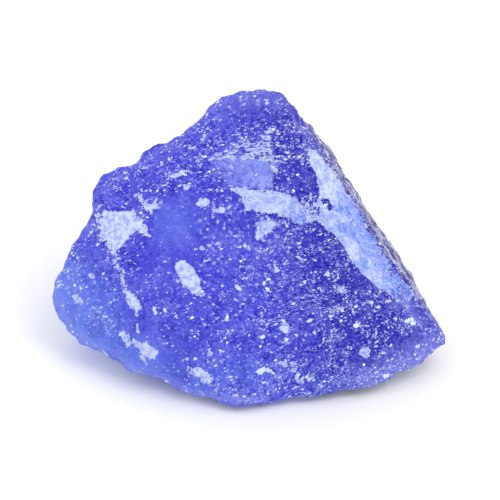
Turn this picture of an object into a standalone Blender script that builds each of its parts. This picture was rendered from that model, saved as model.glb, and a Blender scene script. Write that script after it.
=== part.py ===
"""A rough blue sapphire: one broken lump of cloudy blue corundum that rests on a small flat spot.

The lump is the hull of its corners. The corners that face the viewer are measured as they are seen, in millimetres
right, up and away from a point in the middle of the stone, on a line of sight that looks down by SIGHT_DOWN. The
corners at the back and underneath are measured from that same point, in level axes. Hollows are bites of large
smooth ellipsoids, the way a glassy stone breaks, ledges are shallow bites with sloping sides, and the skin is then
made uneven and chipped.
"""

import math

import bmesh
import bpy
from mathutils import Matrix, Vector

MM = 0.001
STONE = "rough_sapphire"

# How steeply the viewer looks down at the stone, and how far under its middle the surface lies
SIGHT_DOWN = math.radians(35)
FLOOR_BELOW = 8.9

# The seen corners, in millimetres: right, up, away
SEEN_CORNERS = {
    "crown left": (-1.8, 12.2, 3.7),
    "crown middle left": (-0.8, 12.6, 3.5),
    "crown middle right": (2.0, 12.6, 3.5),
    "crown right": (3.0, 11.9, 4.0),
    "right shoulder high": (5.0, 9.5, 4.8),
    "right shoulder middle": (7.9, 5.4, 5.0),
    "right shoulder low": (10.1, 1.6, 4.0),
    "right tip top": (14.8, -6.1, 1.8),
    "right tip": (15.1, -6.8, 1.2),
    "right tip under": (14.7, -7.5, 0.9),
    "right belly": (13.6, -8.4, 0.4),
    "right toe": (12.4, -9.3, -0.1),
    "right toe corner": (9.4, -10.7, -1.3),
    "front toe right": (5.4, -11.1, -1.5),
    "front toe": (-0.4, -12.1, -2.8),
    "front toe left": (-4.2, -11.3, -1.8),
    "left toe": (-9.3, -9.5, -0.7),
    "left belly": (-11.9, -8.6, 0.2),
    "left belly high": (-13.9, -6.8, 1.4),
    "left tip under": (-15.3, -5.3, 2.1),
    "left tip": (-15.4, -3.7, 2.4),
    "left shoulder": (-12.4, 4.8, 2.3),
    "left shoulder top": (-11.7, 5.8, 3.0),
    "upper left step": (-7.5, 8.2, 3.8),
    "left ridge top": (-10.6, 3.2, 0.6),
    "left ridge middle": (-10.0, -0.9, -1.5),
    "left ridge low": (-8.9, -4.3, -2.9),
    "left ridge toe": (-8.3, -7.4, -2.7),
    "front brow left": (-2.7, -5.4, -4.2),
    "front brow middle": (3.8, -4.8, -4.2),
    "front brow right": (10.8, -4.0, -1.9),
    "front heel": (-3.8, -9.6, -3.2),
    "strip top": (4.5, 7.8, 1.6),
    "strip inner middle": (7.7, 0.0, -1.2),
    "strip inner low": (9.2, -2.0, -1.7),
    "strip outer high": (6.2, 6.6, 2.6),
    "strip outer middle": (8.3, 3.1, 1.7),
    "strip foot": (12.6, -4.1, -0.1),
    "upper ledge left": (-6.9, 3.8, -0.3),
    "upper ledge right": (1.9, 6.9, 0.9),
}

# The hidden corners, in millimetres in level axes: x, y, z
HIDDEN_CORNERS = {
    "back left shoulder": (-10.0, 6.5, 0.0),
    "back left foot": (-11.5, 3.1, -7.6),
    "back foot left": (-4.6, 8.1, -8.3),
    "back foot right": (6.2, 6.5, -8.3),
    "back right foot": (11.5, 0.8, -7.7),
    "back crown": (0.0, 10.2, 1.5),
    "base front left": (-3.8, -3.2, -9.2),
    "base front right": (2.8, -3.9, -9.2),
    "base right": (4.6, 0.0, -9.2),
    "base back right": (2.8, 4.2, -9.2),
    "base back left": (-3.2, 4.6, -9.2),
    "base left": (-5.2, 1.0, -9.2),
}

# Each hollow is an ellipsoid's bite: where its middle is seen (right, up, away), its half lengths, and its turns
# in degrees about right, up and away
HOLLOWS = {
    "front hollow": ((1.8, -0.1, -4.7), (12.0, 6.2, 4.1), (22, -5, 0)),
    "right strip scar": ((9.15, 2.6, -0.75), (12.2, 3.0, 2.2), (49, 0, -60)),
    "upper left bite": ((-8.7, 16.0, 3.6), (7.6, 7.6, 12.0), (0, 0, 0)),
    "left step bite": ((-11.6, 10.5, 3.6), (4.5, 4.5, 9.0), (0, 0, 0)),
    "left flank bite": ((-17.5, 4.1, 2.0), (5.2, 5.2, 8.0), (0, 0, 0)),
    "back hollow": ((2.0, 4.5, 11.7), (6.5, 4.0, 4.4), (-35, 12, 0)),
    "back left hollow": ((-18.3, 0.7, 10.5), (9.0, 9.0, 9.0), (0, 0, 0)),
}

# Each ledge is a box's bite, given in the same way. Its far face is smaller by LEDGE_TAPER, so its sides slope, and
# it leaves a shelf that faces more upwards
LEDGE_TAPER = 0.75
LEDGES = {
    "pale ledge": ((-0.7, 6.15, 0.38), (3.1, 1.9, 0.5), (30, -5, 0)),
    "bright ledge": ((1.9, 3.95, -0.6), (3.4, 0.9, 0.5), (45, 0, -18)),
}

# The skin, in millimetres: the even mesh under it, the size and height of its lumps, and those of its chips
GRAIN = 0.30
LUMP_SIZE = 3.4
LUMP_HEIGHT = 0.50
CHIP_SIZE = 1.1
CHIP_HEIGHT = 0.22

# How often the edges are worn down, and the share of the even mesh's faces that is kept
WEAR_STEPS = 2
KEPT_SHARE = 0.19

# The block that cuts the flat spot is this wide, in millimetres, so that it reaches past the stone
TABLE_WIDTH = 60.0

# How finely an ellipsoid's bite is rounded
ROUND_STEPS = 5

BLUE = (0.13, 0.14, 0.70, 1.0)
WAXY_ROUGHNESS = 0.45


def level_from_seen():
    """The matrix that takes right, up and away to the level axes x, y and z."""
    right = Vector((1, 0, 0))
    up = Vector((0, math.sin(SIGHT_DOWN), math.cos(SIGHT_DOWN)))
    away = Vector((0, math.cos(SIGHT_DOWN), -math.sin(SIGHT_DOWN)))
    return Matrix((right, up, away)).transposed()


def clear_scene():
    for obj in list(bpy.data.objects):
        bpy.data.objects.remove(obj)


def new_collection(name):
    made = bpy.data.collections.new(name)
    bpy.context.scene.collection.children.link(made)
    return made


def new_object(name, bm, collection):
    mesh = bpy.data.meshes.new(name)
    bm.to_mesh(mesh)
    bm.free()
    obj = bpy.data.objects.new(name, mesh)
    collection.objects.link(obj)
    return obj


def stone_block(collection):
    """The convex block that all the corners enclose."""
    turn = level_from_seen()
    bm = bmesh.new()
    for corner in SEEN_CORNERS.values():
        bm.verts.new(turn @ Vector(corner) * MM)
    for corner in HIDDEN_CORNERS.values():
        bm.verts.new(Vector(corner) * MM)
    bmesh.ops.convex_hull(bm, input=bm.verts)
    bmesh.ops.recalc_face_normals(bm, faces=bm.faces)
    return new_object(STONE, bm, collection)


def bite(name, middle, half_lengths, turns, collection, boxed=False):
    """One ellipsoid, or one tapered box, that is taken away from the block."""
    spin = [Matrix.Rotation(math.radians(angle), 3, axis) for angle, axis in zip(turns, "XYZ")]
    shape = spin[2] @ spin[1] @ spin[0] @ Matrix.Diagonal(Vector(half_lengths) * MM)
    turn = level_from_seen()
    place = Matrix.Translation(turn @ Vector(middle) * MM) @ (turn @ shape).to_4x4()
    bm = bmesh.new()
    if boxed:
        bmesh.ops.create_cube(bm, size=2.0)
        far_corners = [v for v in bm.verts if v.co.z > 0]
        bmesh.ops.scale(bm, vec=(LEDGE_TAPER, LEDGE_TAPER, 1.0), verts=far_corners)
    else:
        bmesh.ops.create_icosphere(bm, subdivisions=ROUND_STEPS, radius=1.0)
    bmesh.ops.transform(bm, matrix=place, verts=bm.verts)
    bmesh.ops.recalc_face_normals(bm, faces=bm.faces)
    hide(new_object(name, bm, collection))


def hide(obj):
    obj.hide_render = True
    obj.display_type = "WIRE"


def add_bites(stone, cutters):
    for name, (middle, half_lengths, turns) in HOLLOWS.items():
        bite(name, middle, half_lengths, turns, cutters)
    for name, (middle, half_lengths, turns) in LEDGES.items():
        bite(name, middle, half_lengths, turns, cutters, boxed=True)
    cut = stone.modifiers.new("bites", "BOOLEAN")
    cut.operation = "DIFFERENCE"
    cut.operand_type = "COLLECTION"
    cut.collection = cutters
    cut.solver = "EXACT"


def add_displacement(stone, name, kind, size, height):
    """Pushes the skin out and in by half the height, in a pattern of the given size."""
    texture = bpy.data.textures.new(name, kind)
    texture.noise_scale = size * MM
    push = stone.modifiers.new(name, "DISPLACE")
    push.texture = texture
    push.texture_coords = "LOCAL"
    push.strength = height * MM
    push.mid_level = 0.5
    return texture


def add_skin(stone):
    """An even mesh over the block with its edges a little worn, its faces uneven and its skin chipped."""
    even = stone.modifiers.new("even mesh", "REMESH")
    even.mode = "VOXEL"
    even.voxel_size = GRAIN * MM
    worn = stone.modifiers.new("worn edges", "SMOOTH")
    worn.factor = 0.5
    worn.iterations = WEAR_STEPS
    lumps = add_displacement(stone, "lumps", "CLOUDS", LUMP_SIZE, LUMP_HEIGHT)
    lumps.noise_depth = 2
    chips = add_displacement(stone, "chips", "VORONOI", CHIP_SIZE, CHIP_HEIGHT)
    chips.distance_metric = "DISTANCE"
    fewer = stone.modifiers.new("fewer faces", "DECIMATE")
    fewer.ratio = KEPT_SHARE


def add_flat_base(stone, tables):
    """The small flat spot that the stone rests on."""
    place = Matrix.Translation((0, 0, -(FLOOR_BELOW + TABLE_WIDTH / 2) * MM))
    bm = bmesh.new()
    bmesh.ops.create_cube(bm, size=TABLE_WIDTH * MM, matrix=place)
    table = new_object("table", bm, tables)
    hide(table)
    cut = stone.modifiers.new("flat base", "BOOLEAN")
    cut.operation = "DIFFERENCE"
    cut.object = table
    cut.solver = "EXACT"


def stone_material():
    material = bpy.data.materials.new("cloudy blue corundum")
    material.use_nodes = True
    shader = material.node_tree.nodes["Principled BSDF"]
    shader.inputs["Base Color"].default_value = BLUE
    shader.inputs["Roughness"].default_value = WAXY_ROUGHNESS
    shader.inputs["Metallic"].default_value = 0.0
    return material


def centre_on_base(stone):
    """Moves the stone, with all that cuts it, so that the world's origin is under the middle of its box."""
    bpy.context.view_layer.update()
    finished = stone.evaluated_get(bpy.context.evaluated_depsgraph_get())
    points = [Vector(corner) for corner in finished.bound_box]
    low = Vector(map(min, *points))
    high = Vector(map(max, *points))
    stone.parent.location = (-(low.x + high.x) / 2, -(low.y + high.y) / 2, -low.z)


def build():
    clear_scene()
    stones = new_collection("rough blue sapphire")
    cutters = new_collection("bites")
    tables = new_collection("table")
    stone = stone_block(stones)
    add_bites(stone, cutters)
    add_skin(stone)
    add_flat_base(stone, tables)
    stone.data.materials.append(stone_material())
    middle = bpy.data.objects.new("middle of the stone", None)
    stones.objects.link(middle)
    for obj in [stone, *cutters.objects, *tables.objects]:
        obj.parent = middle
    centre_on_base(stone)


if __name__ == "__main__":
    build()
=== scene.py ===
"""A rough blue sapphire: a broken lump of cloudy blue corundum with frosted chips, on a plain pale floor.

The stone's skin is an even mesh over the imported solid, with waves, shells, steps, chips and grain on it.
Places on the side that faces the viewer are given as they are seen, in millimetres right and up from a
point in the middle of the stone, on a line of sight that looks down by SIGHT_DOWN.
"""

import math
import random

import bmesh
import bpy
import numpy as np
from bpy.props import FloatProperty, FloatVectorProperty, IntProperty, PointerProperty
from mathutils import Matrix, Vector, noise
from mathutils.bvhtree import BVHTree


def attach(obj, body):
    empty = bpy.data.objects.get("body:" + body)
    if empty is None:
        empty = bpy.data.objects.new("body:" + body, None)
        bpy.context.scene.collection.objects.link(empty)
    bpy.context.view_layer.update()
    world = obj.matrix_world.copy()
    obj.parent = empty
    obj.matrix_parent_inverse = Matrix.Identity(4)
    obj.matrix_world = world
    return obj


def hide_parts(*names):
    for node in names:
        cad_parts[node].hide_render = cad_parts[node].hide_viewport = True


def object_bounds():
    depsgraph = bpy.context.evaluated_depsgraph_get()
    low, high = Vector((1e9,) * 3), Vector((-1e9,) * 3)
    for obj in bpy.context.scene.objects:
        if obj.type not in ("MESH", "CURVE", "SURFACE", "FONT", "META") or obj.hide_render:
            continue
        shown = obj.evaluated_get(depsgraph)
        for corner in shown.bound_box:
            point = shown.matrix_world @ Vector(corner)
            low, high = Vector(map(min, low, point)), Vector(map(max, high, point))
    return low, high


bl_info = {
    "name": "Rough Blue Sapphire",
    "version": (1, 0, 0),
    "blender": (4, 5, 0),
    "location": "3D View > Sidebar > Sapphire",
    "description": "Dresses the packed stone and sets it on a pale floor in soft light",
    "category": "Add Mesh",
}

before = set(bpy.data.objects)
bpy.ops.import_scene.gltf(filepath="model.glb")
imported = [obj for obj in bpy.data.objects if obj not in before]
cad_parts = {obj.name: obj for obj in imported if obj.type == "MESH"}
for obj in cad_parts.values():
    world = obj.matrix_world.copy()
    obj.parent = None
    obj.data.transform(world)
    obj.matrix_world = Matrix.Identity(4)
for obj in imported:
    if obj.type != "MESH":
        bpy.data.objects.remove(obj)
SOLID_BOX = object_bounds()

NODE = "rough_sapphire"
BODY = "root"
MM = 0.001

# The line of sight, and the middle of the stone that places are measured from, in millimetres
SIGHT_DOWN = math.radians(35)
SIGHT_MIDDLE = np.array((0.187, -0.605, 8.9))
RIGHT = np.array((1.0, 0.0, 0.0))
UP = np.array((0.0, math.sin(SIGHT_DOWN), math.cos(SIGHT_DOWN)))
AWAY = np.array((0.0, math.cos(SIGHT_DOWN), -math.sin(SIGHT_DOWN)))

# How far the right strip turns from level, as it is seen
STRIP_TURN = math.radians(-58)

# How far the dashes near the crown, and the rows that the grains gather in, turn from level
DASH_TURN = 0.10
ROW_TURN = math.radians(22)

# The camera stands this far from the middle, and its picture is this wide there, in millimetres
CAMERA_DISTANCE = 400.0
PICTURE_WIDTH = 38.46
SENSOR_WIDTH = 36.0
NEAREST_SEEN = 0.01

# Where the lamps stand, in metres from the middle of the floor, and how wide they are
KEY_LAMP = ((0.16, -0.12, 0.32), 0.20)
BACK_LAMP = ((-0.25, 0.22, 0.16), 0.15)

FLOOR_HALF_WIDTH = 2.0
FLOOR_FINISH = {"Roughness": 0.9, "Metallic": 0.0, "Specular IOR Level": 0.1}

# The widths of the relief's forms, in millimetres
WAVE_WIDTH = 2.3
LUMP_WIDTH = 0.9
BREAK_WIDTH = 3.8
SHELL_WIDTH = 1.4
STEP_WIDTH = 1.1
STEP_STRETCH = (1.0, 4.5, 1.5)
GRAIN_WIDTH = 0.42

# Skin below the first height is the flat spot, and the relief rises to its full height between the others
FLAT_BELOW = 0.06
RELIEF_RISE = (0.05, 0.35)

# In millimetres, how thick the stone is behind thin skin, and how far worn ridges stand above rubbed skin
THIN_RANGE = (0.5, 3.6)
WORN_RANGE = (0.01, 0.10)

# How often the skin is rubbed down to find its worn ridges
RUBBED_STEPS = 14

# How fully chips, small chips, white lines and the strip cover the skin, and how wide broken borders are
CHIP_FULLNESS = 1.15
SMALL_FULLNESS = 0.90
LINE_FULLNESS = 0.92
STRIP_FULLNESS = 1.1
SMALL_BORDER = 0.16
LINE_BORDER = 0.20
STRIP_BORDER = 0.22
STEP_SHADOW_BORDER = 0.14

# The chips of the hidden sides: how many, the seed of their draws, how fully covered, and their border
HIDDEN_CHIPS = 85
HIDDEN_SEED = 21
HIDDEN_STRENGTHS = (0.6, 0.9, 1.0)
HIDDEN_BORDER = 0.22

# The frosted chips: how fully each is covered, how wide its broken border is, and its outline
CHIPS = {
    "left patch": (1, 0.35, (
        (-11.5, 3.2), (-10, 2.9), (-9.1, 3), (-8.7, 2.6), (-8.4, 2.5), (-8.2, 1.8), (-7.5, 0.8),
        (-8.2, 1.3), (-8.8, 1.7), (-9.3, 1.3), (-9.4, 0.9), (-9.9, 0.3), (-10.4, -0.2), (-10.8, 0.2),
        (-11.3, 0.9), (-11.6, 1.8), (-11.4, 2.7),
    )),
    "patch border": (0.48, 0.5, (
        (-12.1, 3.4), (-11.2, 3.5), (-11, 2.4), (-11.2, 0.9), (-10.6, -0.1), (-11.2, 0.1), (-12, 1.2),
        (-12.3, 2.4),
    )),
    "leaf chip": (1, 0.08, (
        (-5.8, -0.9), (-5.2, -0.85), (-4.6, -1.1), (-4.15, -1.65), (-3.85, -2.3), (-3.75, -2.9),
        (-3.8, -3.4), (-4.1, -3.5), (-4.5, -3.2), (-4.95, -2.7), (-5.35, -2.1), (-5.65, -1.5),
    )),
    "patch tail": (0.46, 0.5, (
        (-11, -0.1), (-10.3, 0), (-9.9, -1.4), (-9.3, -3.1), (-9.8, -3.1), (-10.3, -1.8), (-10.8, -0.9),
    )),
    "ledge chip": (1, 0.22, (
        (-1.55, 4.7), (-0.8, 4.8), (0.35, 4.6), (1.6, 4.6), (2.85, 4.3), (3.65, 3.95), (4.1, 3.45),
        (5, 2.45), (4.6, 2.2), (3.8, 2), (3, 2.45), (2.4, 2.7), (1.6, 2.9), (0.7, 3), (0.2, 3.15),
        (-0.35, 3), (-0.45, 3.6), (-0.8, 4.15),
    )),
    "band end": (0.5, 0.5, (
        (3.85, 3.85), (4.55, 4.25), (5.4, 4.3), (5.4, 3.8), (4.7, 3.3), (4.9, 2.4), (4.45, 2.15),
        (4, 2.9),
    )),
    "hollow chip": (0.95, 0.35, (
        (0.45, 2), (1.25, 2.3), (1.6, 2.35), (2.15, 2.2), (1.95, 1.85), (1.6, 1.4), (1.05, 1.2),
        (0.6, 0.75), (0.45, 1.05), (0.6, 1.5),
    )),
    "step chip": (0.85, 0.35, (
        (-8.9, 4.3), (-8.4, 4.2), (-8.1, 3.8), (-7.7, 3.55), (-7.2, 3.65), (-6.8, 3.65), (-6.9, 3.35),
        (-7.4, 3.2), (-7.6, 2.9), (-7.95, 3.1), (-8.35, 3.5), (-8.6, 3.95),
    )),
    "left ridge chip": (1, 0.2, (
        (-9.8, -3.1), (-9.3, -3.25), (-8.85, -3.6), (-8.4, -4.1), (-8.35, -4.5), (-9, -4.55),
        (-9.35, -4.15), (-9.6, -3.6),
    )),
    "lower left chip": (0.62, 0.35, (
        (-10.3, -6.1), (-9.8, -6.2), (-9.4, -6.5), (-9, -7), (-9, -7.4), (-9.5, -7.5), (-9.9, -7),
    )),
    "toe chip": (0.95, 0.3, (
        (-8.9, -7), (-8.4, -7.15), (-7.9, -7.15), (-7.5, -7.4), (-7.2, -7.9), (-7.4, -8.5), (-7.8, -8.3),
        (-8.1, -8.2), (-8.1, -8.7), (-8.5, -8.3), (-8.6, -7.7), (-9, -7.4),
    )),
    "bottom chip": (0.75, 0.3, (
        (-4.8, -9.15), (-4.2, -9), (-3.6, -9.1), (-3.3, -9.4), (-3.2, -9.8), (-2.9, -9.9), (-2.8, -10.4),
        (-3.5, -10.2), (-3.9, -9.9), (-4.4, -9.6),
    )),
    "branched chip": (0.62, 0.35, (
        (2.6, -9), (3.1, -9.1), (3.2, -8.5), (3.6, -8.5), (3.6, -9.2), (4.1, -9.2), (3.9, -9.55),
        (4, -9.9), (4.2, -10.4), (3.7, -10.1), (3.3, -9.4), (3.1, -9.5), (2.7, -9.4),
    )),
    "crescent chip": (0.9, 0.15, (
        (0.4, -9.4), (0.8, -9.1), (1.2, -9.1), (1.7, -9.25), (2, -9.6), (1.5, -9.45), (1.1, -9.4),
        (0.7, -9.55),
    )),
    "brow chip": (0.8, 0.3, ((2.4, -5.4), (2.9, -5.6), (3.25, -6), (2.8, -6.4), (2.4, -6.1))),
    "right chip": (0.95, 0.2, (
        (8.45, -7.7), (8.85, -7.5), (9.3, -7.7), (9.3, -8.1), (8.9, -8.2), (8.5, -8),
    )),
    "far chip": (0.7, 0.35, ((6.5, -2.5), (7.1, -2.8), (7.6, -3.1), (7.5, -3.6), (7, -3.4), (6.6, -3))),
    "streaked chip": (0.62, 0.4, (
        (-6.7, 5.7), (-5.9, 6), (-5.2, 6.1), (-4.6, 6.3), (-4.4, 6), (-5.2, 5.6), (-5.8, 5.4),
        (-6.4, 5.4),
    )),
    "shoulder chip": (0.6, 0.3, (
        (-7, 6.8), (-6.5, 6.9), (-6.2, 7.2), (-5.9, 7.1), (-6, 6.8), (-6.6, 6.6),
    )),
}

# The small chips: right, up, half length, half width, and how far they turn from level, in degrees
SMALL_CHIPS = (
    (-3.6, 3.7, 0.46, 0.33, 10), (-2.3, 3.1, 0.5, 0.22, 5), (-1.6, 3.3, 0.18, 0.14, 0),
    (-4.9, 4.85, 0.24, 0.19, 0), (-4.3, 6.5, 0.28, 0.07, -5), (4.1, -0.7, 0.35, 0.15, -25),
    (6, -1.8, 0.3, 0.16, -50), (1.1, -2.65, 0.15, 0.15, 0), (1.4, -3.1, 0.26, 0.16, -50),
    (-0.85, -2.9, 0.32, 0.17, -30), (-2.15, -2.65, 0.13, 0.12, 0), (1.95, -1.3, 0.25, 0.14, -60),
    (2.1, -1.6, 0.17, 0.13, 0), (-1.8, -5.2, 0.3, 0.16, 60), (1, -6.7, 0.3, 0.16, 25),
    (2.75, -6.9, 0.18, 0.17, 0), (3.6, -6.6, 0.28, 0.07, -25), (4.55, -9.8, 0.32, 0.07, 8),
    (10.5, -9.65, 0.25, 0.18, 30), (12.25, -5.45, 0.34, 0.18, 35), (12.9, -7.4, 0.18, 0.13, 30),
    (-13.3, -3.75, 0.5, 0.26, -40), (-12.1, -3.05, 0.3, 0.09, -50), (-12.15, -2.05, 0.26, 0.2, 0),
    (-12.95, -2.9, 0.14, 0.13, 0), (-13, -1.2, 0.11, 0.1, 0), (-7.3, -4.75, 0.38, 0.14, -75),
    (-6.5, -4.75, 0.34, 0.09, -60), (-8.3, -3.3, 0.28, 0.08, -65), (-3.2, -7.85, 0.34, 0.1, -45),
    (-4.2, -8.35, 0.16, 0.14, 0), (-6.4, -5.9, 0.26, 0.11, -40), (-1.2, -11.2, 0.22, 0.09, 0),
    (4.6, -5.4, 0.22, 0.13, 20), (8.2, -5.8, 0.3, 0.14, 10), (6.3, -5.1, 0.22, 0.09, 20),
    (9.4, -4.1, 0.2, 0.12, 30), (8, -4.75, 0.15, 0.13, 0), (9.8, -4.4, 0.2, 0.1, 20),
    (10.6, -3.9, 0.15, 0.12, 0), (11.3, -3.95, 0.24, 0.12, 10), (12.5, -5.65, 0.2, 0.16, -40),
    (5, -6.4, 0.15, 0.11, 0), (1.3, -2.2, 0.22, 0.12, 20), (-0.4, 0.3, 0.2, 0.15, -60),
    (-1.1, 1.1, 0.2, 0.15, 40), (-3.7, 0.15, 0.2, 0.16, 0), (-2.9, 2.45, 0.25, 0.12, 20),
    (-2, 1.7, 0.28, 0.1, 70), (1.1, 0, 0.16, 0.1, 60), (2.15, 7.15, 0.45, 0.07, -8),
    (2.7, 7.5, 0.3, 0.06, -10), (2.4, 8, 0.3, 0.07, -12), (1.9, 6.2, 0.3, 0.2, -60),
)

# Broken white lines along worn ridges and steps: the points that each runs through, and half its width
WHITE_LINES = (
    (((-10.6, -0.2), (-10.3, -1.2), (-9.9, -2.2), (-9.7, -3.1)), 0.09),
    (((-10.1, -0.6), (-9.8, -1.4), (-9.75, -1.8)), 0.05),
    (((-8.8, -4.6), (-8.7, -5.4), (-8.6, -6.3)), 0.07),
    (((-3.1, 6.95), (-2.15, 7.2), (-0.9, 7.15), (0, 7.1), (0.9, 6.95), (1.7, 6.9), (2.4, 6.75)), 0.12),
    (((-0.7, -5.6), (1.6, -5.3), (3.6, -4.6), (5.6, -4.5)), 0.03),
    (((5.6, -4.5), (8.2, -4.3), (10.2, -3.9)), 0.04),
    (((8, 2), (8.6, 1.3), (9.1, 0.6)), 0.05),
    (((9.7, -6.1), (9.65, -6.6), (9.7, -7)), 0.03),
    (((3.9, -9.9), (3.6, -10.6), (3.5, -11.1)), 0.03),
    (((5.6, -6.2), (5.7, -6.9), (5.5, -7.5)), 0.02),
)

# The grey skin of the far right face lies outside this line, from its top to its foot
GREY_EDGE = (
    (4, 10.4), (4.8, 9.1), (5.35, 8.1), (5.8, 7.2), (6.2, 6.45), (6.8, 5.6), (7.35, 4.75), (7.85, 3.9),
    (8.4, 3.05), (9.15, 1.95), (9.6, 1), (10.3, -0.05), (11.2, -1.1), (11.8, -2), (12.4, -3),
    (13.3, -4.6), (14.3, -6.1),
)

# Painted shadows under step edges, given in the same way
STEP_SHADOWS = (
    (((5.9, 1.5), (6.6, 1), (7.25, 0.35), (7.8, -0.5), (8.3, -1.2), (8.75, -1.75), (9.3, -2.3)), 0.1),
    (((4.75, 6.1), (5.1, 5.3), (5.3, 4.6)), 0.05),
    (GREY_EDGE[2:12], 0.05),
    (((-0.4, 2.9), (0.6, 2.85), (1.6, 2.7), (2.7, 2.35), (3.5, 2)), 0.06),
    (((-1.4, 4.5), (-0.7, 3.9), (-0.5, 3.2)), 0.05),
    (((3.9, 3.9), (4.3, 3.4), (4.7, 2.8), (5.2, 2.1)), 0.1),
    (((4.4, 4.6), (4.8, 4.2), (5.3, 3.9)), 0.05),
    (((1.85, 5.9), (1.85, 5.2), (1.85, 4.7)), 0.06),
    (((5.6, 3.8), (5.9, 3.4), (6.1, 3.1)), 0.16),
)

# The ledge with its painted sheen, and the streaked snow above it
SHEEN_LEDGE = (
    (-2.9, 6.9), (-1.9, 7.3), (-0.8, 7.15), (0.15, 7.15), (1, 6.9), (1.7, 6.7), (2.2, 6.55), (2.1, 6.1),
    (1.75, 5.85), (1.7, 4.75), (0.9, 4.7), (-0.2, 4.85), (-0.9, 4.75), (-1.7, 5), (-2.6, 5.5),
)
STREAKED_SNOW = (
    (-1.15, 8), (-0.77, 8.4), (-0.3, 8.45), (0.25, 8.15), (0.7, 8.4), (0.9, 8.7), (1.1, 9.1), (1.25, 9.4),
    (1.6, 9.45), (1.85, 9.25), (1.7, 8.7), (1.7, 8), (1.75, 7.4), (2.25, 6.9), (1.4, 6.9), (0.4, 7.15),
    (-0.55, 7.3), (-1.1, 7.6),
)

# The pale strip down the right side, between its left and its right edge, from top to foot
STRIP_LEFT = (
    (4.5, 7.8), (4.7, 6.55), (5.05, 6), (5.25, 4.95), (5.4, 4.2), (5.3, 3.9), (4.8, 3.5),
    (4.7, 3), (5.1, 2.3), (5.7, 1.8), (6.45, 1.3), (7.15, 0.4), (7.6, -0.45), (8.1, -1.05), (8.7, -1.7),
    (9.3, -2.3), (10, -2.95), (10.6, -3.45), (11.3, -4.2), (11.9, -5.6),
)
STRIP_RIGHT = (
    (4.6, 7.8), (5.4, 7.2), (6, 6.45), (6.65, 5.6), (7.2, 4.75), (7.7, 3.9), (8.25, 3.05), (9, 1.95),
    (9.4, 1), (10.05, -0.05), (10.9, -1.1), (11.4, -1.9), (12.2, -2.7), (12.9, -3.6), (13.6, -5.6),
)

# Where the skin is shaved, or built up if the depth is below 0: right, up, half width, half height, depth
SHAVED_PLACES = (
    (-6.7, 8.5, 2.2, 1.5, 0.6), (-4.6, 9.6, 2.6, 1.4, 0.15), (-11.9, 3.9, 1.9, 3.2, 0.34),
    (-14.3, -6, 2.2, 2, 0.42), (-11.3, -8.5, 2.6, 2, 0.75), (-8, -10.2, 3, 1.6, 0.5),
    (6, -11.4, 5, 1.6, 0.24), (-2.7, 11.1, 1.8, 1.4, -0.22), (8, 4.6, 1.4, 1.8, -0.2),
    (9.8, 2, 1.2, 1.4, 0.24), (13.9, -5, 1.6, 2.2, -0.22), (13, -8.6, 2.4, 1.4, -0.3),
    (-5.4, 9, 0.9, 0.8, 0.24), (-9.1, 6.9, 1.5, 1, 0.3),
)

# Where a painted glow shows light coming through the stone: the points that each line runs through, its
# half width and share
GLOW_LINES = (
    (((14.9, -6.6), (13.8, -7.8)), 1.6, 0.7),
    (((13.8, -7.8), (12.2, -9), (10, -10.1), (9, -10.5)), 2.5, 0.8),
    (((11.3, -3.2), (12.1, -4.3), (12.8, -5.4)), 1, 0.55),
    (((9, -10.5), (5, -11.1), (1, -11.6)), 0.8, 0.2),
    (((1, -11.6), (-3, -11.4), (-7, -10.1), (-11, -8.4), (-13.8, -6.2), (-14.9, -3.6)), 0.8, 0.65),
    (((-12.2, 1.9), (-12.1, 4.4), (-11, 5.1)), 1.2, 0.25),
    (((-11, 5.1), (-7.7, 6.9), (-6.2, 8.6), (-2.8, 11.1)), 0.7, 0.25),
    (((-2.8, 11.1), (-1.4, 11.9), (2.2, 12)), 2.6, 0.42),
    (((14.9, -6.4), (13.9, -4.9), (12.9, -3.3)), 1.2, 0.4),
)

# Where painted shade darkens the body most, in the hollows and on faces turned from the light: right, up,
# half width, half height and share
SHADED_PLACES = (
    (7.6, -3, 3.6, 2.8, 0.5), (2.9, 8.2, 2, 1.8, 0.28), (0, 1.9, 2.6, 1.2, 0.3),
    (-3.9, 0.6, 1.6, 2.2, 0.2), (9.8, -6.1, 3.2, 2, 0.48), (-2.4, -4, 2.4, 1.4, 0.25),
    (4.4, -7.6, 2.6, 1.6, 0.25),
)

# Where a painted glow lightens the body to a lighter blue, given in the same way
GLOWING_PLACES = (
    (-5.8, 2, 3, 3.2, 0.45), (-1, -9.6, 6, 3, 0.5), (-4.6, -6.2, 3, 2.2, 0.15),
    (6.3, -10.2, 3.4, 1.4, 0.25),
)

# The strip's azure places, and its white ones where the share is below 0, given in the same way
STRIP_TINTS = (
    (7.2, 1.75, 0.75, 0.55, 1.6), (7.9, 1.3, 0.75, 0.5, 1.6), (8.8, -1.05, 0.5, 0.8, 1.5),
    (7, 3.4, 0.9, 0.7, 0.5), (8.7, 2, 0.8, 1.3, 0.5), (9.4, 0.6, 0.8, 1.3, 0.6),
    (6, 4.4, 0.9, 1.6, -0.8), (7.6, 0.3, 0.7, 0.9, -1.3), (8.2, -0.5, 0.5, 0.8, -1),
    (7.7, 2.3, 0.35, 0.25, -0.8), (9.7, -2.1, 0.9, 0.8, -0.5), (10.8, -1.4, 0.7, 1.2, 1.5),
    (11.8, -3, 1.4, 1.2, 0.9),
)

# Where the strip's cover is thin or gone, given in the same way
STRIP_GAPS = (
    (5.75, 3.75, 0.6, 0.34, 1.3), (6.15, 3.3, 0.42, 0.6, 1.2), (5.1, 3, 0.9, 1.2, 0.62),
    (5.9, 2.2, 0.8, 0.6, 0.3), (10.9, -1.6, 0.7, 1, 0.62), (11.6, -2.9, 0.9, 0.9, 0.45),
    (11.2, -3.9, 1.2, 1, 0.3), (8.8, -1.1, 0.4, 0.6, 0.35),
)

# Where the skin is quiet, with few grains, given in the same way
QUIET_PLACES = ((-6, 1.3, 3.3, 3.8, 1), (-9, -8, 5.5, 2.8, 0.85))

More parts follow.
